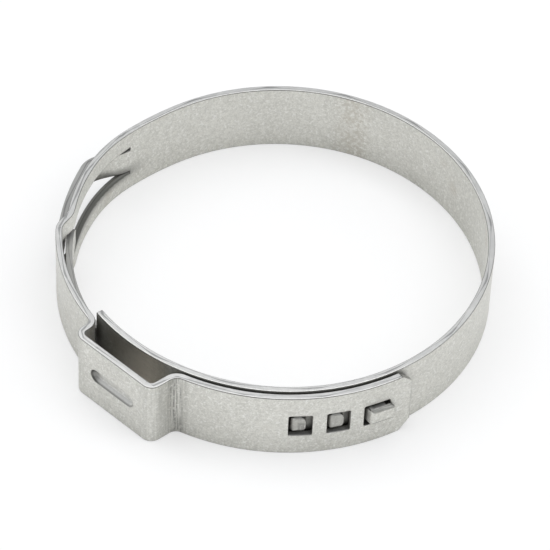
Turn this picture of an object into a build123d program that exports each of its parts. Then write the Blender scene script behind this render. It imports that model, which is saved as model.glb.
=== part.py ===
"""Stepless single-ear hose clamp, open as supplied: one strip of stainless steel,
punched, lanced and rolled into a ring that laps over itself at the front and on the left.

Millimetres and degrees. The bore axis is Z and the clamp lies on its lower edge, at z = 0.
Angles run anticlockwise from +X as seen from above, so the front of the clamp is at -90.
Going clockwise from its free end, the outer turn carries the windows and the ear, steps in at
the channel and becomes the inner turn, which carries the hooks and ends in the tongue.
"""
import math
import os

from build123d import *

# ---------------------------------------------------------------- strip stock
strip_width = 7.0
strip_thickness = 0.6

# ---------------------------------------------------------------- rolled ring
bore_radius = 18.05
lap_gap = 0.25             # play between the two turns at the windows
ear_gap = 0.75             # play between the two turns just left of the ear
tail_gap = 0.9             # play between the two turns where the channel starts
lap_end_angle = -53.7      # free end of the outer turn
lap_end_chamfer = 1.1

# ---------------------------------------------------------------- ear
ear_angle = -131.3
ear_reach = 2.0            # how far the ear's face stands off the outer turn
ear_span = 9.45            # outside the ear, corner to corner
ear_right_lean = 8.0       # how far the right leg leans in towards the middle of the face
ear_left_lean = -3.0       # the left leg leans out a little
ear_bend_radius = 0.45     # inside the bend at each end of the face
ear_foot_radius = 0.6      # inside the bend at the left leg's foot
ear_root_radius = 0.9      # inside the bend between the right leg and the windows
dimple_length = 5.2
dimple_width = 1.6
dimple_depth = 0.45
dimple_slope = 40.0

# ---------------------------------------------------------------- windows
window_angles = (-83.7, -73.9)
window_length = 2.1
keeper_window_angle = -63.6
keeper_window_length = 2.45
window_height = 2.5
window_corner = 0.2

# ---------------------------------------------------------------- hooks
hook_width = 1.8
hook_length = 1.45         # of a support hook
hook_play = 0.08           # between a hook and the left edge of its window
hook_corner = 0.65
hook_sink = 0.15           # a support hook stops this far below the outer face
hook_slope = 72.0          # of the ramp at the left of each hook
hook_brow = 0.45           # round between the ramp and the top of a hook
hook_crown = 0.3           # round along the top and bottom of a support hook
hook_wall = 0.35           # metal left round the hollow behind a hook
keeper_crown = 0.4         # round along the top and bottom of the keeper
keeper_nose = 0.3          # round at the tip of the keeper's head
keeper_neck = 0.5          # room right of the keeper's neck, inside its window
keeper_proud = 0.5         # the keeper's head stands this far above the outer face
keeper_overlap = 0.35      # and reaches this far past its window
keeper_clearance = 0.06

# ---------------------------------------------------------------- channel
channel_start_angle = 182.5
joggle_length = 2.6        # the rails step in over this length
rail_width = 2.1           # strip left above and below the slits
slit_width = 0.12          # lanced open between each rail and the bridge
slit_edge_radius = 0.35    # the rails draw in this softly at the slits, on the bore side
rail_lift = 0.6            # the rails stand this far off the bore circle
rail_end_angle = 158.0     # where the rails start to close on the bore circle
slit_end_angle = 141.0     # full width again from here
slit_end_lift = 0.3        # the strip still stands this far off the bore circle here
run_out_angle = 124.0      # and lies on it from here
bridge_crown_angle = 153.5
bridge_bulge = 0.65        # how far the bridge stands outside the outer turn

# ---------------------------------------------------------------- tail and tongue
tail_start_angle = -100.0  # the inner turn leaves the bore circle here
shoulder_angle = -146.5    # full width ends here
shoulder_lift = 0.4        # how far the shoulders stand off the bore circle
shoulder_round = 0.5
tongue_tip_angle = 174.5
tongue_clearance = 0.25    # each side, between the rails
tongue_round = 0.6

# ---------------------------------------------------------------- derived
half_thickness = strip_thickness / 2
mid_height = strip_width / 2
bore_mid = bore_radius + half_thickness
bore_outside = bore_radius + strip_thickness
lap_mid = bore_outside + lap_gap + half_thickness
lap_outside = lap_mid + half_thickness
ear_turn_mid = bore_outside + ear_gap + half_thickness
tail_turn_mid = bore_outside + tail_gap + half_thickness
rail_mid = bore_mid + rail_lift
channel_width = strip_width - 2 * rail_width
tongue_width = channel_width - 2 * tongue_clearance


def polar(radius, angle):
    """Point at a radius and an angle about the bore axis."""
    return Vector(radius, 0).rotate(Axis.Z, angle)


def clockwise(angle):
    """Direction in which a round turn of the strip runs at an angle."""
    return polar(1, angle - 90)


def bearing(point):
    """Angle of a point about the bore axis, from -360 to 0."""
    return math.degrees(math.atan2(point.Y, point.X)) % 360 - 360


def turn(radius, start_angle, end_angle):
    """Round stretch of the strip's middle line."""
    return CenterArc((0, 0), radius, start_angle, end_angle - start_angle)


def facing(radius, angle):
    """Plane that touches a turn at mid height, with X to the right and Z outwards."""
    return Plane(
        origin=polar(radius, angle) + Vector(0, 0, mid_height),
        x_dir=-clockwise(angle),
        z_dir=polar(1, angle),
    )


# ---------------------------------------------------------------- ear, seen from above
ear_across = -clockwise(ear_angle)
ear_outward = polar(1, ear_angle)
ear_face_outside = lap_outside + ear_reach
ear_face_mid = ear_face_outside - half_thickness


def ear_corner(side):
    """Corner of the ear's middle line: side is 1 on the right and -1 on the left."""
    return ear_outward * ear_face_mid + ear_across * side * (ear_span / 2 - half_thickness)


def ear_foot(side, lean, turn_mid):
    """Where a leaning leg of the ear meets the turn that it grows from."""
    slant = math.radians(lean)
    leg = ear_across * side * math.sin(slant) - ear_outward * math.cos(slant)
    corner = ear_corner(side)
    nearest = -corner.dot(leg)
    return corner + leg * (nearest - math.sqrt(nearest**2 - corner.dot(corner) + turn_mid**2))


right_foot = ear_foot(1, ear_right_lean, lap_mid)
left_foot = ear_foot(-1, ear_left_lean, ear_turn_mid)
channel_start = polar(tail_turn_mid, channel_start_angle)

# ---------------------------------------------------------------- outer turn, seen from above
with BuildLine() as outer_line:
    turn(lap_mid, lap_end_angle, bearing(right_foot))
    Polyline(right_foot, ear_corner(1), ear_corner(-1), left_foot)
    TangentArc(channel_start, left_foot, tangent=-clockwise(channel_start_angle))
    for bend, inside_radius in (
        (right_foot, ear_root_radius),
        (ear_corner(1), ear_bend_radius),
        (ear_corner(-1), ear_bend_radius),
        (left_foot, ear_foot_radius),
    ):
        vertex = outer_line.vertices().sort_by_distance(bend)[0]
        fillet(vertex, inside_radius + half_thickness)

# ---------------------------------------------------------------- channel, seen from above
joggle_angle = channel_start_angle - math.degrees(joggle_length / tail_turn_mid)

with BuildLine() as run_out_line:
    run_out = TangentArc(
        polar(bore_mid, run_out_angle),
        polar(bore_mid + slit_end_lift, slit_end_angle),
        tangent=-clockwise(run_out_angle),
    )

with BuildLine() as rail_line:
    Spline(
        (run_out @ 1, polar(rail_mid, rail_end_angle)),
        tangents=(run_out % 1, -clockwise(rail_end_angle)),
    )
    turn(rail_mid, rail_end_angle, joggle_angle)
    Spline(
        (polar(rail_mid, joggle_angle), channel_start),
        tangents=(-clockwise(joggle_angle), -clockwise(channel_start_angle)),
    )

with BuildLine() as bridge_line:
    crown = TangentArc(
        channel_start,
        polar(tail_turn_mid + bridge_bulge, bridge_crown_angle),
        tangent=clockwise(channel_start_angle),
    )
    Spline((crown @ 1, run_out @ 1), tangents=(crown % 1, -(run_out % 1)))

# ---------------------------------------------------------------- inner turn, seen from above
with BuildLine() as inner_line:
    turn(bore_mid, run_out_angle, tail_start_angle)
    tail = TangentArc(
        polar(bore_mid, tail_start_angle),
        polar(bore_mid + shoulder_lift, shoulder_angle),
        tangent=clockwise(tail_start_angle),
    )

with BuildLine() as tongue_line:
    TangentArc(tail @ 1, polar(rail_mid, tongue_tip_angle), tangent=tail % 1)

# ---------------------------------------------------------------- hooks, made at the front
hook_left = hook_play - window_length / 2
hook_right = hook_left + hook_length
hook_top = lap_outside - hook_sink
keeper_left = hook_play - keeper_window_length / 2
keeper_right = keeper_window_length / 2 + keeper_overlap
keeper_stem = keeper_window_length / 2 - keeper_neck
keeper_top = lap_outside + keeper_proud
keeper_under = lap_outside + keeper_clearance


def ramp_foot_to_brow(left, top):
    """The two upper points of a hook's ramp, which starts on the inner turn's outer face."""
    run = (top - bore_outside) / math.tan(math.radians(hook_slope))
    return (left, -bore_outside), (left + run, -top)


def round_hook(left, right, top, crown):
    """Trim a hook to its rounded outline seen from outside, then to its crowned cross-section."""
    with BuildSketch(Plane.XZ.offset(bore_mid)) as outline:
        with Locations(((left + right) / 2, mid_height)):
            RectangleRounded(right - left, hook_width, hook_corner)
    extrude(outline.sketch, amount=top - bore_mid, mode=Mode.INTERSECT)
    with BuildSketch(Plane.YZ.offset(left)) as section:
        with Locations((-(bore_mid + top) / 2, mid_height)):
            Rectangle(top - bore_mid, hook_width)
        fillet(section.vertices().group_by(Axis.X)[0], crown)
    extrude(section.sketch, amount=right - left, mode=Mode.INTERSECT)


with BuildPart() as support_hook:
    with BuildSketch(Plane.XY.offset(mid_height - hook_width / 2)):
        with BuildLine() as hook_profile:
            foot, brow = ramp_foot_to_brow(hook_left, hook_top)
            nose = (hook_right, -hook_top)
            Polyline((hook_left, -bore_mid), foot, brow, nose, (hook_right, -bore_mid), close=True)
            fillet(hook_profile.vertices().sort_by_distance(brow)[0], hook_brow)
        make_face()
    extrude(amount=hook_width)
    round_hook(hook_left, hook_right, hook_top, hook_crown)

with BuildPart() as keeper:
    with BuildSketch(Plane.XY.offset(mid_height - hook_width / 2)):
        with BuildLine() as keeper_profile:
            foot, brow = ramp_foot_to_brow(keeper_left, keeper_top)
            nose = (keeper_right, -keeper_top)
            Polyline(
                (keeper_left, -bore_mid),
                foot,
                brow,
                nose,
                (keeper_right, -keeper_under),
                (keeper_stem, -keeper_under),
                (keeper_stem, -bore_mid),
                close=True,
            )
            fillet(keeper_profile.vertices().sort_by_distance(brow)[0], hook_brow)
            fillet(keeper_profile.vertices().sort_by_distance(nose)[0], keeper_nose)
        make_face()
    extrude(amount=hook_width)
    round_hook(keeper_left, keeper_right, keeper_top, keeper_crown)


# ---------------------------------------------------------------- lower rail
def faces_bore(face):
    """Whether an upright face looks into the bore."""
    place = face.center()
    return face.normal_at(place).dot(Vector(place.X, place.Y).normalized()) < -0.5


with BuildPart() as rail:
    with BuildSketch():
        trace(rail_line.edges(), strip_thickness)
    extrude(amount=rail_width)
    bore_side = rail.faces().filter_by(faces_bore)
    fillet(bore_side.edges().group_by(Axis.Z)[-1], slit_edge_radius)


# ---------------------------------------------------------------- clamp
def roll(line, bottom, top):
    """Stand a stretch of the strip on edge between two heights."""
    with BuildSketch(Plane.XY.offset(bottom)) as edge_on:
        trace(line.edges(), strip_thickness)
    extrude(edge_on.sketch, amount=top - bottom)


def punch_window(angle, length):
    """Punch one window through the outer turn only."""
    with BuildSketch(facing(bore_outside + lap_gap / 2, angle)) as window:
        RectangleRounded(length, window_height, window_corner)
    extrude(window.sketch, amount=lap_gap + strip_thickness, mode=Mode.SUBTRACT)


def raise_hook(hook, angle, left, right):
    """Raise a hook on the inner turn, hollow behind, where the punch drew it out."""
    add(hook.part.rotate(Axis.Z, angle + 90))
    with BuildSketch(facing(hook_top - strip_thickness, angle)) as hollow:
        with Locations(((left + right) / 2, 0)):
            RectangleRounded(
                right - left - 2 * hook_wall,
                hook_width - 2 * hook_wall,
                hook_corner - hook_wall,
            )
    extrude(hollow.sketch, amount=-2 * strip_thickness, mode=Mode.SUBTRACT)


def corner_edges(radius, angle, reach):
    """The two short edges through the strip, this far above and below mid height."""
    spots = [polar(radius, angle) + Vector(0, 0, mid_height + side * reach) for side in (-1, 1)]
    return [clamp_band.edges().sort_by_distance(spot)[0] for spot in spots]


with BuildPart() as clamp_band:
    roll(outer_line, 0, strip_width)
    roll(inner_line, 0, strip_width)
    roll(run_out_line, 0, strip_width)
    add(rail.part)
    add(mirror(rail.part, about=Plane.XY.offset(mid_height)))
    roll(bridge_line, rail_width + slit_width, strip_width - rail_width - slit_width)
    roll(tongue_line, mid_height - tongue_width / 2, mid_height + tongue_width / 2)

    chamfer(corner_edges(lap_mid, lap_end_angle, mid_height), lap_end_chamfer)
    fillet(corner_edges(rail_mid, tongue_tip_angle, tongue_width / 2), tongue_round)
    fillet(corner_edges(bore_mid + shoulder_lift, shoulder_angle, tongue_width / 2), shoulder_round)

    for window_angle in window_angles:
        punch_window(window_angle, window_length)
        raise_hook(support_hook, window_angle, hook_left, hook_right)
    punch_window(keeper_window_angle, keeper_window_length)
    raise_hook(keeper, keeper_window_angle, keeper_left, keeper_stem)

    ear_middle = Vector(0, 0, mid_height) + ear_outward * ear_face_outside
    ear_plane = Plane(origin=ear_middle, x_dir=ear_across, z_dir=ear_outward)
    with BuildSketch(ear_plane.offset(-strip_thickness)):
        SlotOverall(dimple_length, dimple_width)
    extrude(amount=-dimple_depth, taper=dimple_slope)
    with BuildSketch(ear_plane):
        SlotOverall(dimple_length, dimple_width)
    extrude(amount=-dimple_depth, taper=dimple_slope, mode=Mode.SUBTRACT)

clamp_band.part.label = "clamp_band"
os.makedirs("parts", exist_ok=True)
export_step(clamp_band.part, "parts/clamp_band.step")
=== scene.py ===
# %% [markdown]
# # A stepless ear clamp, dressed for its picture
#
# The real clamp is one strip of stainless steel, 7 mm wide and 0.6 mm thick. It was slit from a coil,
# punched, lanced, folded and rolled, and then tumbled with its fellows in a barrel, which leaves it dull
# and cloudy with softly rubbed edges. The CAD model already has every fold and hole at its real size.
# What is left to make here is the finish: soft edges, cut rims, mottled skin, rubbed folds, and light.
#
# Everything is in metres, and small sizes are written with `mm`. The height of the strip is read from
# the model, because many masks of the finish are counted from its two rims.

# %% Load the CAD frame
import math

import bmesh
import bpy
from mathutils import Matrix, Vector


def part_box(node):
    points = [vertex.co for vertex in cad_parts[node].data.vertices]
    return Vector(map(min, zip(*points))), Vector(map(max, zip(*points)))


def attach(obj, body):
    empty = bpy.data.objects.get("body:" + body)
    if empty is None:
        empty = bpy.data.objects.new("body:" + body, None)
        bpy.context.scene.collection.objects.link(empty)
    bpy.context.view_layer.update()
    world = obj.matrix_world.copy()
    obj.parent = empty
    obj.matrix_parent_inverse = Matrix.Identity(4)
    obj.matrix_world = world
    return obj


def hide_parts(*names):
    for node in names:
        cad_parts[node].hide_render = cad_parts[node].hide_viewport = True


mm = 0.001

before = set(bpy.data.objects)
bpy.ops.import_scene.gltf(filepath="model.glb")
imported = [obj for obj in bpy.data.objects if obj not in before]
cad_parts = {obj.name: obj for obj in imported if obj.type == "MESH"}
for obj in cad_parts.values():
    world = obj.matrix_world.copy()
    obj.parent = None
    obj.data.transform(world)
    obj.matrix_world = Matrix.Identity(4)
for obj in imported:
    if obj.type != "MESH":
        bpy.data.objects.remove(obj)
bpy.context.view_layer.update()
band_low, band_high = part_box("clamp_band")
mid_height = (band_low.z + band_high.z) / 2
half_height = (band_high.z - band_low.z) / 2
print("the strip stands", round(2 * half_height / mm, 2), "mm tall")

# %% [markdown]
# ## Writing nodes as sums
#
# A node tree can be clicked together or typed. Typed node by node it is long and hard to read, so this
# notebook has two small classes. The first, `Tap`, wraps one output socket and understands Python's
# arithmetic signs, also with the plain number on the left. So `1 - mask * 0.3` adds its own Math nodes,
# and a mask reads like the sentence that describes it.

# %% A socket that can be added and multiplied
class Tap:
    """One output socket, with Python's arithmetic signs."""

    def __init__(self, recipe, socket):
        self.recipe = recipe
        self.socket = socket

    def maths(self, operation, first, second):
        return self.recipe.node("ShaderNodeMath", {"operation": operation}, {0: first, 1: second})

    def __add__(self, other):
        return self.maths("ADD", self, other)

    def __sub__(self, other):
        return self.maths("SUBTRACT", self, other)

    def __rsub__(self, other):
        return self.maths("SUBTRACT", other, self)

    def __mul__(self, other):
        return self.maths("MULTIPLY", self, other)

    def __truediv__(self, other):
        return self.maths("DIVIDE", self, other)

    def __pow__(self, other):
        return self.maths("POWER", self, other)

    def __gt__(self, other):
        return self.maths("GREATER_THAN", self, other)

    def __lt__(self, other):
        return self.maths("LESS_THAN", self, other)

    def size(self):
        """The value without its sign."""
        return self.maths("ABSOLUTE", self, 0.0)

    __radd__ = __add__
    __rmul__ = __mul__


print("a tap understands + - * / ** > <")

# %% [markdown]
# ## One method for every other node
#
# The second class, `Recipe`, wraps a whole tree. Its method `node` takes a node's type, its settings,
# and what goes into its sockets, and the settings are made first, because they can change which sockets
# there are. The other methods are short names for the few kinds that come back all the time. The same
# class writes materials, the world and Geometry Nodes, because all three are node trees.

# %% A node tree that is written down step by step
class Recipe:
    """A node tree that is written down step by step."""

    number_results = ("DOT_PRODUCT", "DISTANCE", "LENGTH")

    def __init__(self, tree):
        self.tree = tree
        tree.nodes.clear()

    def node(self, kind, settings=None, inputs=None, output=0):
        """Add a node: its settings first, then what goes into its sockets. Gives one output as a Tap."""
        made = self.tree.nodes.new(kind)
        for name, value in (settings or {}).items():
            if name == "stops":
                self.set_stops(made.color_ramp, value)
            else:
                setattr(made, name, value)
        for name, value in (inputs or {}).items():
            socket = made.inputs[name]
            if isinstance(value, Tap):
                self.tree.links.new(value.socket, socket)
            else:
                socket.default_value = value
        return Tap(self, made.outputs[output]) if made.outputs else made

    @staticmethod
    def set_stops(ramp, stops):
        """Give a colour ramp its stops: a list of (place, colour)."""
        while len(ramp.elements) < len(stops):
            ramp.elements.new(1.0)
        for element, (place, colour) in zip(ramp.elements, stops):
            element.position = place
            element.color = (*colour, 1.0)

    def part(self, vector, letter):
        """One part of a vector: X, Y or Z."""
        return self.node("ShaderNodeSeparateXYZ", {}, {0: vector}, output=letter)

    def vector(self, operation, *terms):
        """Vector maths. A length, a distance or a dot product comes out as a number."""
        output = "Value" if operation in self.number_results else "Vector"
        return self.node("ShaderNodeVectorMath", {"operation": operation}, dict(enumerate(terms)), output)

    def mix(self, share, first, second):
        """Mix two colours: share 0 gives the first and 1 the second."""
        settings = {"data_type": "RGBA", "clamp_factor": True}
        return self.node("ShaderNodeMix", settings, {0: share, 6: first, 7: second}, output=2)

    def step(self, value, low, high):
        """0 at low, 1 at high, and a soft slope between them. Low may be the larger one."""
        sockets = {"Value": value, "From Min": low, "From Max": high}
        return self.node("ShaderNodeMapRange", {"interpolation_type": "SMOOTHSTEP"}, sockets)


print("recipe ready: node, part, vector, mix, step")

# %% [markdown]
# ## Joining the loose triangles
#
# A CAD node arrives as a bag of loose triangles, which no modifier can round: each triangle is an island
# with nothing to bevel against. So a copy is made and its corners are joined. Then the flat parts are
# dissolved into large faces, because a bevel only runs cleanly along an edge that is a real edge of the
# form and not a leftover of the triangulation.

# %% A joined copy of a CAD node
def merged_copy(node, name):
    """A copy of a CAD node with its loose triangles joined at their corners."""
    shape = bmesh.new()
    shape.from_mesh(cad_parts[node].data)
    bmesh.ops.remove_doubles(shape, verts=shape.verts, dist=0.001 * mm)
    bmesh.ops.dissolve_limit(
        shape, angle_limit=math.radians(0.1), verts=shape.verts, edges=shape.edges, delimit=set()
    )
    mesh = bpy.data.meshes.new(name)
    shape.to_mesh(mesh)
    shape.free()
    piece = bpy.data.objects.new(name, mesh)
    bpy.context.scene.collection.objects.link(piece)
    for face in mesh.polygons:
        face.use_smooth = True
    return piece


rough_strip = merged_copy("clamp_band", "rough_strip")
print("joined copy:", len(rough_strip.data.polygons), "faces")

# %% [markdown]
# ## Finding the tight folds
#
# A bending tool stretches the skin wherever it bends it tightly, and leaves fine upright streaks there.
# Those places could be typed in as coordinates, but the mesh knows them: a tight bend is a row of upright
# edges that each turn by a good few degrees, while the wide ring turns by much less. Edges that stand
# close together belong to one fold, and the middle of them is the line that the fold runs along. On this
# clamp the rule finds three lines: the two corners of the ear, and the foot of its right leg.

# %% Measure the fold lines
def fold_lines(mesh, least_angle, most_angle, reach):
    """Where the strip is folded tightly: upright edges of tight bends, gathered into one line a fold."""
    shape = bmesh.new()
    shape.from_mesh(mesh)
    tall = 0.9 * 2 * half_height
    places = []
    for edge in shape.edges:
        first, second = (corner.co for corner in edge.verts)
        upright = abs(first.z - second.z) > tall
        if upright and len(edge.link_faces) == 2 and least_angle < edge.calc_face_angle() < most_angle:
            places.append(Vector((first.x, first.y, 0)))
    shape.free()
    gathered = []
    for place in places:
        near = [fold for fold in gathered if (sum(fold, Vector()) / len(fold) - place).length < reach]
        if near:
            near[0].append(place)
        else:
            gathered.append([place])
    return [sum(fold, Vector()) / len(fold) for fold in gathered]


sharp_angle = math.radians(38)
folds = fold_lines(rough_strip.data, math.radians(8), sharp_angle, 1.2 * mm)
print("tight folds:", [(round(fold.x / mm, 1), round(fold.y / mm, 1)) for fold in folds])

# %% [markdown]
# ## Reading the form with Geometry Nodes
#
# A finish follows the form: sharp edges are rubbed, and a cut rim looks different from the rolled skin.
# Those masks could be painted by hand, but a rule is better, because it still holds when a size in the
# CAD model changes. A Geometry Nodes tree can measure the mesh:
#
# - the angle at each edge says where the strip is sharp, and there it gets a bevel weight, a little less
#   round the holes than along the rims;
# - the side a face looks to, away from the bore or into it, says which skin it belongs to. Across a rim
#   that value runs from 0 to 1, so a material can tell how deep in the cut it is.
#
# The tree stores each measure as a named attribute on the mesh, and ends by giving the strip its steel.

# %% The tree that measures the strip
def form_tree(material):
    """Geometry Nodes that weight the edges and store the masks that the finish reads."""
    tree = bpy.data.node_groups.new("measure_the_strip", "GeometryNodeTree")
    recipe = Recipe(tree)
    sides = tree.interface
    sides.new_socket("Strip", in_out="INPUT", socket_type="NodeSocketGeometry")
    sides.new_socket("Strip", in_out="OUTPUT", socket_type="NodeSocketGeometry")
    for name in ("Sharp Angle", "Rim Weight", "Hole Weight"):
        sides.new_socket(name, in_out="INPUT", socket_type="NodeSocketFloat")
    given = tree.nodes.new("NodeGroupInput").outputs
    asked = {socket.name: Tap(recipe, socket) for socket in given if socket.name}

    def store(strip, name, domain, value):
        settings = {"data_type": "FLOAT", "domain": domain}
        sockets = {"Geometry": strip, "Name": name, "Value": value}
        return recipe.node("GeometryNodeStoreNamedAttribute", settings, sockets)

    def on(domain, value):
        settings = {"data_type": "FLOAT", "domain": domain}
        return recipe.node("GeometryNodeFieldOnDomain", settings, {0: value})

    rim_starts = half_height * 0.995
    place = recipe.node("GeometryNodeInputPosition")
    from_middle = (recipe.part(place, "Z") - mid_height).size()
    at_rim = on("EDGE", from_middle) > rim_starts
    softness = asked["Hole Weight"] + (asked["Rim Weight"] - asked["Hole Weight"]) * at_rim
    sharp = recipe.node("GeometryNodeInputMeshEdgeAngle") > asked["Sharp Angle"]
    strip = store(asked["Strip"], "bevel_weight_edge", "EDGE", sharp * softness)

    facing = recipe.node("GeometryNodeInputNormal")
    flat_place = recipe.vector("MULTIPLY", place, (1, 1, 0))
    looks_out = recipe.vector("DOT_PRODUCT", facing, flat_place) > 0.0
    is_skin = recipe.part(facing, "Z").size() < 0.5
    outer_skin = on("FACE", is_skin * looks_out)
    skin_share = on("FACE", is_skin * 1.0)
    strip = store(strip, "outer_skin", "POINT", outer_skin)
    strip = store(strip, "skin_share", "POINT", skin_share)

    real = recipe.node("GeometryNodeRealizeInstances", {}, {"Geometry": strip})
    dressed = recipe.node("GeometryNodeSetMaterial", {}, {"Geometry": real, "Material": material})
    recipe.node("NodeGroupOutput", {}, {"Strip": dressed})
    return tree


steel = bpy.data.materials.new("tumbled_steel")
steel.use_nodes = True
strip_tree = form_tree(steel)
print("measuring tree has", len(strip_tree.nodes), "nodes")

# %% [markdown]
# ## Tumbling the strip
#
# In the barrel every sharp edge is knocked round by about a tenth of a millimetre. A Bevel modifier does
# that, and it reads the weights that the tree has just stored. Weighted Normal then keeps the big faces
# flat beside the small round ones. The alternative, bevelling in the CAD model, would cost thousands of
# faces there for something that only the eye needs.
#
# A modifier's inputs are set by the identifiers of their sockets. In the end the result becomes a plain
# mesh with no modifiers, and it stands for the CAD node from then on.

# %% Measure, tumble and make plain
def give_inputs(modifier, values):
    """Set a Geometry Nodes modifier's inputs by the identifiers of their sockets."""
    for socket in modifier.node_group.interface.items_tree:
        if socket.item_type == "SOCKET" and socket.in_out == "INPUT" and socket.name in values:
            modifier[socket.identifier] = values[socket.name]


def made_plain(piece, name):
    """The piece with its modifiers applied, as a new plain mesh object."""
    ready = piece.evaluated_get(bpy.context.evaluated_depsgraph_get())
    mesh = bpy.data.meshes.new_from_object(ready)
    mesh.name = name
    bpy.data.objects.remove(piece)
    plain = bpy.data.objects.new(name, mesh)
    bpy.context.scene.collection.objects.link(plain)
    return plain


edge_softness = 0.095 * mm

measure = rough_strip.modifiers.new("measure", "NODES")
measure.node_group = strip_tree
give_inputs(measure, {"Sharp Angle": sharp_angle, "Rim Weight": 1.0, "Hole Weight": 0.55})
tumble = rough_strip.modifiers.new("tumble", "BEVEL")
tumble.limit_method = "WEIGHT"
tumble.width = edge_softness
tumble.segments = 3
tumble.use_clamp_overlap = False
tumble.miter_outer = "MITER_ARC"
keep_flat = rough_strip.modifiers.new("keep_flat", "WEIGHTED_NORMAL")
keep_flat.keep_sharp = False

strip = made_plain(rough_strip, "tumbled_strip")
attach(strip, "root")
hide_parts("clamp_band")
print("tumbled strip:", len(strip.data.polygons), "faces,", [a.name for a in strip.data.attributes])

# %% [markdown]
# ## The colours of one metal
#
# All of the clamp is the same stainless steel, and still no two parts of it have the same tone. The
# rolled skin is a warm grey, lighter where the barrel has rubbed it. A slit rim is cleaner and more
# neutral, with a dark torn band. Some tones are painted light: a dark one paints the fold streaks and
# the shade on edges, slits, hooks and the dimple, a darker one paints the shade in tight corners and
# hollows, a warm pale one paints the light bounced about inside the ear, and the rubbed tone also
# paints a highlight on the dimple's floor. These are base colours of a metal, so they say how much of
# the light comes back.

# %% Tones of the steel
skin_light = (0.72, 0.715, 0.67, 1.0)
skin_dark = (0.54, 0.535, 0.495, 1.0)
# rubbed wear and bright specks, and also the painted highlight on the dimple's floor
rubbed_and_highlight_light = (0.93, 0.93, 0.91, 1.0)
rim_light = (0.80, 0.80, 0.785, 1.0)
rim_dark = (0.36, 0.36, 0.36, 1.0)
# dark fold streaks, and the painted shade on edges, slits, hooks, the dimple and the free end
streak_and_shade_dark = (0.14, 0.14, 0.13, 1.0)
# painted bounce light inside the ear
ear_inside = (0.98, 0.94, 0.87, 1.0)
stain = (0.47, 0.43, 0.36, 1.0)
# painted shade in tight corners and hollows
hollow_shade_dark = (0.07, 0.065, 0.055, 1.0)
print("skin runs from", skin_dark[:3], "to", skin_light[:3])

# %% [markdown]
# ## Where the painted shades lie
#
# Some painted shades and highlights belong to one place: the slits, the hooks, the ear, and the free end
# of the outer turn, and one stain does too. The masks find those places by their height above the table,
# by their `lift`, which is how far they stand off the bore circle, and by their direction from the bore's
# axis. So the finish needs a few sizes of the clamp, the same ones that its maker would have on the
# drawing.

# %% Sizes that the marks are placed by
bore_radius = 18.05 * mm
lap_lift = 1.45 * mm  # outer face of the outer turn, off the bore circle
knocked_width = 0.10 * mm  # the round edge beside a rim
knocked_fade = 0.16 * mm
slit_height = 2.16 * mm
upper_slit_height = 2 * mid_height - slit_height
ear_face = 21.5 * mm  # the ear's outer face, from the bore's axis
ear_angle = math.radians(-131.3)
end_angle = math.radians(-53.7)  # free end of the outer turn
stain_angle = math.radians(71)


def heading(angle):
    """The level direction at an angle about the bore's axis."""
    return Vector((math.cos(angle), math.sin(angle), 0))


print("slits at", round(slit_height / mm, 2), "and", round(upper_slit_height / mm, 2), "mm")

# %% [markdown]
# ## What every mask starts from
#
# Nearly all masks ask the same questions: where is this point, which way does its face really look, and
# how does the dented skin look here? The class below answers them once, so that the tree has one node
# for each answer. It reads Object coordinates, so the pattern sits in the metal and not on the screen.
# The real slope of a face comes from True Normal, because the smoothed normal is already bent at an edge.
#
# Tumbling leaves thousands of tiny dents. Three sizes of noise make them: a faint cloud some millimetres
# wide, a mottle of a third of a millimetre, and a fine grain. A fourth noise is drawn out upwards, for
# the streaks in the folds.

# %% Place, slope and dents
class Surface:
    """Where a point of the strip lies, which way its face looks, and how its skin is dented."""

    def __init__(self, recipe):
        self.recipe = recipe
        self.place = recipe.node("ShaderNodeTexCoord", output="Object")
        self.height = recipe.part(self.place, "Z")
        self.from_rim = half_height - (self.height - mid_height).size()
        self.near_rim = recipe.step(self.from_rim, knocked_fade, knocked_width)
        self.flat = recipe.vector("MULTIPLY", self.place, (1, 1, 0))
        self.lift = recipe.vector("LENGTH", self.flat) - bore_radius

        # slope is 0 on an upright wall and 1 on a level rim
        facing = recipe.node("ShaderNodeNewGeometry", output="True Normal")
        outward = recipe.vector("NORMALIZE", self.flat)
        self.lean = recipe.part(facing, "Z")
        self.slope = self.lean.size()
        self.rim = recipe.step(self.slope, 0.6, 0.95)
        self.sloping = recipe.step(self.slope, 0.15, 0.35) * recipe.step(self.slope, 0.985, 0.9)
        self.inner_side = recipe.step(recipe.vector("DOT_PRODUCT", facing, outward), 0.1, -0.1)

        self.cloud = self.noise(6.0 * mm, 2.0)
        self.mottle = self.noise(0.36 * mm, 3.0)
        self.grain = self.noise(0.13 * mm, 2.0)
        self.streak = self.noise(0.20 * mm, 2.0, stretch=(1, 1, 0.05))

    def noise(self, size, detail, stretch=(1, 1, 1)):
        """Noise with lumps of about this size. A stretch below 1 draws them out."""
        scaled = self.recipe.vector("MULTIPLY", self.place, stretch)
        sockets = {"Vector": scaled, "Scale": 1 / size, "Detail": detail, "Roughness": 0.5}
        return self.recipe.node("ShaderNodeTexNoise", {}, sockets)

    def stored(self, name):
        """A measure that the Geometry Nodes tree has stored on the mesh."""
        return self.recipe.node("ShaderNodeAttribute", {"attribute_name": name}, output="Fac")

    def by_line(self, angle, radius, far, near):
        """1 along an upright line at this angle and radius, 0 beyond far."""
        line = tuple(heading(angle) * radius)
        return self.recipe.step(self.recipe.vector("DISTANCE", self.flat, line), far, near)


finish = Surface(Recipe(steel.node_tree))
print("a surface answers with", len(finish.recipe.tree.nodes), "nodes")

# %% [markdown]
# ## Streaks in the folds
#
# Each fold line gets a soft band on either side of it. The corners of the ear were bent round a smooth
# former and show little. The foot of the right leg was pinched by the tool, and there the streaks are
# strong. The corners are told from the foot by how far they stand from the bore's axis.

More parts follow.
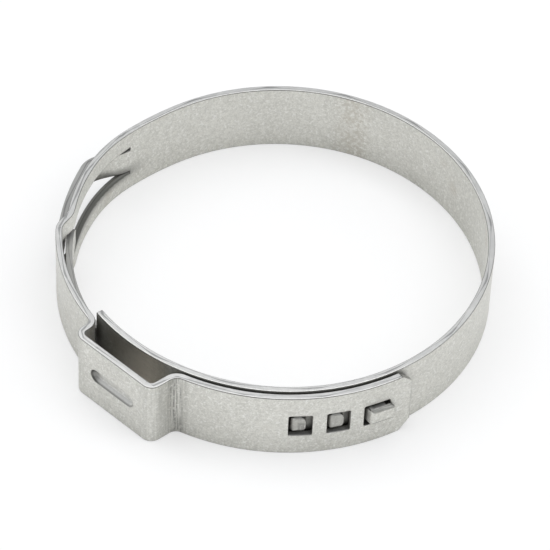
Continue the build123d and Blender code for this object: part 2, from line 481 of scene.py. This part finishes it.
# %% How strongly a point is folded
def fold_mask(surface):
    """1 at the foot of the ear, less at its corners, and 0 away from the folds."""
    fold_reach = 1.5 * mm
    corner_radius = ear_face - 0.8 * mm
    fold = 0.0
    for line in folds:
        away = surface.recipe.vector("DISTANCE", surface.flat, tuple(line))
        strength = 0.3 if line.length > corner_radius else 1.0
        fold = surface.recipe.step(away, fold_reach, fold_reach * 0.2) * strength + fold
    return fold


fold = fold_mask(finish)
print("streaks at", len(folds), "folds")

# %% [markdown]
# ## Rims and pressed edges
#
# The two long rims were slit from the coil: the blade cuts cleanly at first, and then the metal tears.
# That torn band is dark and lies at a certain depth in the cut, which the stored attributes give.
# The knocked edge beside a rim gets a painted shade line. The same slope further from the rims is no coil
# edge but a form that a die has pressed, such as the side of a slit, and it gets painted shade where it
# looks inwards or down. So do the level faces of holes and slits away from the long rims.

# %% Masks of rims and edges
def torn_band(surface):
    """The dark band in the cut where the blade tore the metal."""
    torn_depth = 0.62  # 0 at the bore side of the cut and 1 at the outer side
    never_zero = 0.001
    depth = surface.stored("outer_skin") / (surface.stored("skin_share") + never_zero)
    return surface.recipe.step((depth - torn_depth).size(), 0.22, 0.05)


def edge_shade(surface):
    """Painted shade on the edges: the knocked ones, the pressed ones and the rims of holes."""
    inside = 1 - surface.near_rim
    downward = surface.recipe.step(surface.lean, -0.1, -0.4)
    # painted shade line on knocked edges, painted shade on pressed slopes looking inwards or down
    knocked = surface.sloping * surface.near_rim * 0.9
    pressed = surface.sloping * inside * (surface.inner_side * 0.6 + downward * 0.75)
    return knocked + pressed + surface.rim * inside * 0.45


torn = torn_band(finish)
edges = edge_shade(finish)
print("rims and edges: tree at", len(finish.recipe.tree.nodes), "nodes")

# %% [markdown]
# ## Slits, hooks and the free end
#
# Where the rails were lanced free of the bridge, the lower one gets a grey painted shade on its bore side.
# The upper slit stays lighter, so its mask is kept to hold the painted shade of the hollows back later.
# The hooks sit deep in their windows and get painted shade all over, and the brow of the keeper, which
# stands out of its window, a little. The chamfered free end gets a thin painted shade line.

# %% Masks of the lanced and raised forms
def channel_masks(surface):
    """The painted shade along the lower slit, and the neighbourhood of the upper one."""
    step = surface.recipe.step
    behind = step(surface.recipe.part(surface.place, "Y"), 0.0, 4 * mm)
    channel = behind * step(surface.lift, 0.05 * mm, 0.45 * mm) * surface.inner_side
    lower = step((surface.height - slit_height).size(), 1.2 * mm, 0.1 * mm)
    upper = step((surface.height - upper_slit_height).size(), 0.7 * mm, 0.4 * mm)
    return lower * channel, upper * channel


def hook_shade(surface):
    """Painted shade on the support hooks and on the brow of the keeper."""
    step = surface.recipe.step
    lift = surface.lift
    on_hook = step(lift, 0.65 * mm, 0.80 * mm) * step(lift, lap_lift - 0.03 * mm, lap_lift - 0.09 * mm)
    hooks = on_hook * (1 - surface.inner_side) * (1 - surface.rim)
    proud = step(lift, lap_lift - 0.03 * mm, lap_lift + 0.05 * mm)
    on_keeper = proud * step(lift, lap_lift + 0.60 * mm, lap_lift + 0.53 * mm)
    brow = surface.sloping * (1 - surface.near_rim) * on_keeper
    return hooks * 0.4 + brow * 0.5


lower_slit, upper_slit = channel_masks(finish)
hooks = hook_shade(finish)
free_end = finish.by_line(end_angle, bore_radius + lap_lift, 0.17 * mm, 0.07 * mm)
print("lanced forms: tree at", len(finish.recipe.tree.nodes), "nodes")

# %% [markdown]
# ## The ear
#
# The ear is a box that the pincers will close. Its face has a pressed dimple: the wall of the dimple gets
# a painted shade, its left end a painted shade too, and its floor a painted highlight. Inside the ear,
# light only comes in from above, and the smooth strip throws it from wall to wall as a warm glow. A path
# tracer loses that light after a few bounces, so the walls in there get a lighter, warmer base colour.

# %% Masks of the dimple and of the ear's inside
def ear_masks(surface):
    """Painted shade and painted highlight in the dimple, and how far a point is inside the ear."""
    step = surface.recipe.step
    outward = heading(ear_angle)
    sideways = (-outward.y, outward.x, 0)
    reach = surface.recipe.vector("DOT_PRODUCT", surface.place, tuple(outward))
    across = surface.recipe.vector("DOT_PRODUCT", surface.place, sideways)

    face_depth = 0.5 * mm
    dimple_half_length = 3 * mm
    dimple_from_rim = 1.5 * mm
    in_reach = (across.size() < dimple_half_length) * (surface.from_rim > dimple_from_rim)
    on_face = (reach > ear_face - face_depth) * in_reach
    sunk = step(reach, ear_face - 0.02 * mm, ear_face - 0.06 * mm) * on_face
    wall = sunk * step(reach, ear_face - 0.24 * mm, ear_face - 0.10 * mm)
    # painted shade on the dimple's wall and left end, painted highlight on its floor
    shade = wall * 0.55 + sunk * step(across, -1.4 * mm, -2.5 * mm) * 0.7
    shine = sunk * (1 - wall) * 0.5

    ear_middle = 0.3 * mm
    ear_half_width = 3.8 * mm
    inner_wall = (reach > bore_radius + 0.15 * mm) * (reach < bore_radius + 1.1 * mm)
    outer_wall = (reach > ear_face - 1.2 * mm) * (reach < ear_face - 0.5 * mm)
    walls = (1 - surface.inner_side) * inner_wall + surface.inner_side * outer_wall
    between_legs = step((across - ear_middle).size(), ear_half_width, 0.8 * mm)
    inside = walls * between_legs * (1 - surface.rim)
    return shade, shine, inside


dimple_shade, dimple_highlight, in_ear = ear_masks(finish)
print("ear: tree at", len(finish.recipe.tree.nodes), "nodes")

# %% [markdown]
# ## Mixing the skin
#
# Mottle, grain and cloud together choose a tone between the dark and the light skin. Over it come a few
# brownish clouds, one larger tea-coloured stain on the back, bright specks where the barrel has struck,
# and the dark streaks of the folds. Each is one mix with its own mask, laid over the ones before it.

# %% The rolled and tumbled skin
def skin_colour(surface, fold):
    """The colour of the rolled skin, and the tone that it was mixed with."""
    step, mix = surface.recipe.step, surface.recipe.mix
    mottle = surface.mottle
    worn = mottle * 0.38 + surface.grain * 0.47 + surface.cloud * 0.15
    tone = step(worn, 0.36, 0.64)
    brown_clouds = step(surface.noise(4.0 * mm, 1.0), 0.62, 0.75) * 0.35
    tea_stain = surface.by_line(stain_angle, bore_radius, 2.3 * mm, 0.3 * mm) * step(mottle, 0.66, 0.36)
    specks = step(surface.noise(0.24 * mm, 1.0), 0.56, 0.70) * 0.4
    streaks = fold * step(surface.streak, 0.36, 0.62) * step(mottle, 0.3, 0.55) * 0.68

    skin = mix(tone, skin_dark, skin_light)
    skin = mix(brown_clouds, skin, stain)
    skin = mix(tea_stain * 0.42, skin, stain)
    skin = mix(specks, skin, rubbed_and_highlight_light)
    return mix(streaks, skin, streak_and_shade_dark), tone


skin, skin_tone = skin_colour(finish, fold)
print("skin: tree at", len(finish.recipe.tree.nodes), "nodes")

# %% [markdown]
# ## Putting rims, marks and shades on the skin
#
# The rims replace the skin where a face looks up or down, and here and there they are rubbed bright.
# Then all the painted shades are added up and mixed in at once, so that where two of them meet the metal
# never gets darker than the painted shade colour.

# %% The colour of the clean metal
def marked_colour(surface, skin):
    """The skin with its rims, its rubbed places, painted highlight, painted bounce light and painted
    shade.
    """
    mix = surface.recipe.mix
    colour = mix(surface.rim, skin, mix(torn * 0.85, rim_light, rim_dark))
    rubbed_rim = surface.rim * surface.recipe.step(surface.noise(2.2 * mm, 2.0), 0.56, 0.66) * 0.6
    # rubbed rims, and the painted highlight on the dimple's floor
    colour = mix((dimple_highlight + rubbed_rim) * 0.55, colour, rubbed_and_highlight_light)
    colour = mix(in_ear * (surface.mottle * 0.9 + 0.5), colour, ear_inside)
    # all the painted shades: edges, lower slit, hooks and brow, dimple and free end
    shade = edges + lower_slit * 0.75 + hooks + dimple_shade + free_end * 0.28
    return mix(shade, colour, streak_and_shade_dark)


clean_metal = marked_colour(finish, skin)
print("clean metal: tree at", len(finish.recipe.tree.nodes), "nodes")

# %% [markdown]
# ## Painted shade in hollows, and the shader itself
#
# Hollows are painted darker, as shade falls there. Ambient Occlusion finds those places: it looks 1.6 mm
# far and only at the strip itself, so the table does not count. Tight corners get a dark painted shade,
# and wider hollows a lighter painted shade and a thin film that is no longer quite metallic.
#
# Colour, roughness and bump read the same dents, because on real metal one dent changes all three.

# %% The finish of the strip
def finish_steel(surface, colour):
    """Join colour, painted shade of hollows, roughness and bump into the steel's shader."""
    recipe = surface.recipe
    looks_around = {"samples": 8, "only_local": True}
    openness = recipe.node("ShaderNodeAmbientOcclusion", looks_around, {"Distance": 1.6 * mm}, output="AO")
    # painted shade in tight corners, held back at the upper slit; wider hollows get a lighter painted
    # shade and less metallic
    corners = recipe.step(openness, 0.55, 0.12) * (0.92 - upper_slit * 0.7)
    dull_film_and_shade = recipe.step(openness, 1.0, 0.55)
    colour = recipe.mix(corners, colour, hollow_shade_dark)
    colour = recipe.mix(dull_film_and_shade * 0.22, colour, hollow_shade_dark)

    roughness = 0.36 + skin_tone * 0.12 - surface.rim * 0.06 + fold * 0.05
    relief = surface.mottle * 0.5 + surface.grain * 0.35 + surface.streak * fold * 0.6
    dents = {"Strength": 0.35, "Distance": 0.02 * mm, "Height": relief}
    normal = recipe.node("ShaderNodeBump", {}, dents, output="Normal")
    metallic = 1 - dull_film_and_shade * 0.55
    sockets = {"Base Color": colour, "Metallic": metallic, "Roughness": roughness, "Normal": normal}
    shader = recipe.node("ShaderNodeBsdfPrincipled", {}, sockets)
    recipe.node("ShaderNodeOutputMaterial", {}, {"Surface": shader})


finish_steel(finish, clean_metal)
print("steel finish has", len(steel.node_tree.nodes), "nodes")

# %% [markdown]
# ## The white table
#
# The clamp lies on white paper. A plain diffuse white would come out pale grey under a soft lamp, and
# more light would burn out the steel. So the paper glows a little, but only for the camera: the mix is
# driven by Is Camera Ray, and the steel still reflects ordinary paper. The contact shadow stays, because
# the larger share of the mix is the lit paper.

# %% Lay the table
def white_table(material):
    """White paper that glows a little for the camera."""
    recipe = Recipe(material.node_tree)
    lit = recipe.node("ShaderNodeBsdfDiffuse", {}, {"Color": (0.95, 0.95, 0.95, 1.0)})
    glow = recipe.node("ShaderNodeEmission", {}, {"Color": (1, 1, 1, 1), "Strength": 1.0})
    share = recipe.node("ShaderNodeLightPath", output="Is Camera Ray") * 0.45
    both = recipe.node("ShaderNodeMixShader", {}, {0: share, 1: lit, 2: glow})
    recipe.node("ShaderNodeOutputMaterial", {}, {"Surface": both})


table_size = 2.0
paper = bpy.data.materials.new("table_paper")
paper.use_nodes = True
white_table(paper)
bpy.ops.mesh.primitive_plane_add(size=table_size, location=(0, 0, 0))
table = bpy.context.object
table.name = "table"
table.data.materials.append(paper)
print("table is", table_size, "m wide")

# %% [markdown]
# ## The light tent
#
# Metal shows its surroundings, so the tent matters more than the lamp. The world is a pale dome that is
# greyer near the horizon and brighter overhead, which gives the upright walls of the clamp their calm
# tone. It is stronger to the left and right than in front and behind, so the ring's sides come out
# lighter than its front. The camera itself sees plain white, while the steel goes on seeing the dome.

# %% The dome
def light_tent(tree):
    """A pale dome for the metal to reflect, and plain white for the camera."""
    dome = Recipe(tree)
    way = dome.node("ShaderNodeTexCoord", output="Generated")
    stops = [(0.0, (0.55, 0.55, 0.56)), (0.35, (0.55, 0.56, 0.57)), (1.0, (0.95, 0.96, 0.98))]
    cloth = dome.node("ShaderNodeValToRGB", {"stops": stops}, {0: dome.part(way, "Z")})
    strength = (dome.part(way, "X") ** 2) * 1.25 + 0.605
    light = dome.node("ShaderNodeBackground", {}, {"Color": cloth, "Strength": strength})
    white = dome.node("ShaderNodeBackground", {}, {"Color": (1, 1, 1, 1), "Strength": 1.0})
    seen = dome.node("ShaderNodeLightPath", output="Is Camera Ray")
    sky = dome.node("ShaderNodeMixShader", {}, {0: seen, 1: light, 2: white})
    dome.node("ShaderNodeOutputWorld", {}, {"Surface": sky})


world = bpy.data.worlds.new("light_tent")
bpy.context.scene.world = world
world.use_nodes = True
light_tent(world.node_tree)
print("light tent has", len(world.node_tree.nodes), "nodes")

# %% [markdown]
# ## The softbox
#
# One wide lamp above, a little behind the clamp, gives the floor its soft shadow and the rims their
# sheen. It is much wider than it is deep, so the shadow is blurred more to the sides than to the front.

# %% One lamp overhead
def softbox(name, place, size, watts):
    """A rectangular lamp that looks at the clamp."""
    lamp = bpy.data.lights.new(name, "AREA")
    lamp.shape = "RECTANGLE"
    lamp.size, lamp.size_y = size
    lamp.energy = watts
    holder = bpy.data.objects.new(name, lamp)
    holder.location = place
    holder.rotation_euler = (-Vector(place)).to_track_quat("-Z", "Y").to_euler()
    bpy.context.scene.collection.objects.link(holder)
    return holder


overhead = softbox("overhead", (0.03, 0.05, 0.60), (1.4, 0.4), 2.87)
print("lamp of", round(overhead.data.energy, 2), "W,", round(overhead.location.z, 2), "m up")

# %% [markdown]
# ## The camera
#
# A small part is best shown from a fair distance with a long lens, so that the ring stays an ellipse
# and its front is not blown up. The camera looks down at about 47 degrees and is rolled by a few degrees.
# Its three axes are worked out from those two angles and put together as a matrix, which is plainer than
# chasing the right Euler order. Focal length is given as pixels, and turned into millimetres with the
# sensor's width and the picture's side.

# %% Stand the camera up
camera_pitch = math.radians(46.95)
camera_roll = math.radians(2.70)
camera_reach = 18.0 * bore_radius
aim = Vector((-0.0351 * bore_radius, 0.0765 * bore_radius, 0.0))
sensor = 36.0
focal_pixels = 3614.0
picture_side = 550

back = Vector((0, -math.cos(camera_pitch), math.sin(camera_pitch)))
level = Vector((1, 0, 0))
rise = level.cross(-back)
right = math.cos(camera_roll) * level + math.sin(camera_roll) * rise
upright = -math.sin(camera_roll) * level + math.cos(camera_roll) * rise

lens = bpy.data.cameras.new("camera")
lens.sensor_width = sensor
lens.lens = focal_pixels / picture_side * sensor
lens.clip_start = 0.01
camera = bpy.data.objects.new("camera", lens)
turn = Matrix((right, upright, back)).transposed().to_4x4()
camera.matrix_world = Matrix.Translation(aim + camera_reach * back) @ turn
bpy.context.scene.collection.objects.link(camera)
bpy.context.scene.camera = camera
bpy.context.scene.view_settings.view_transform = "Standard"
print("camera lens", round(lens.lens, 1), "mm")
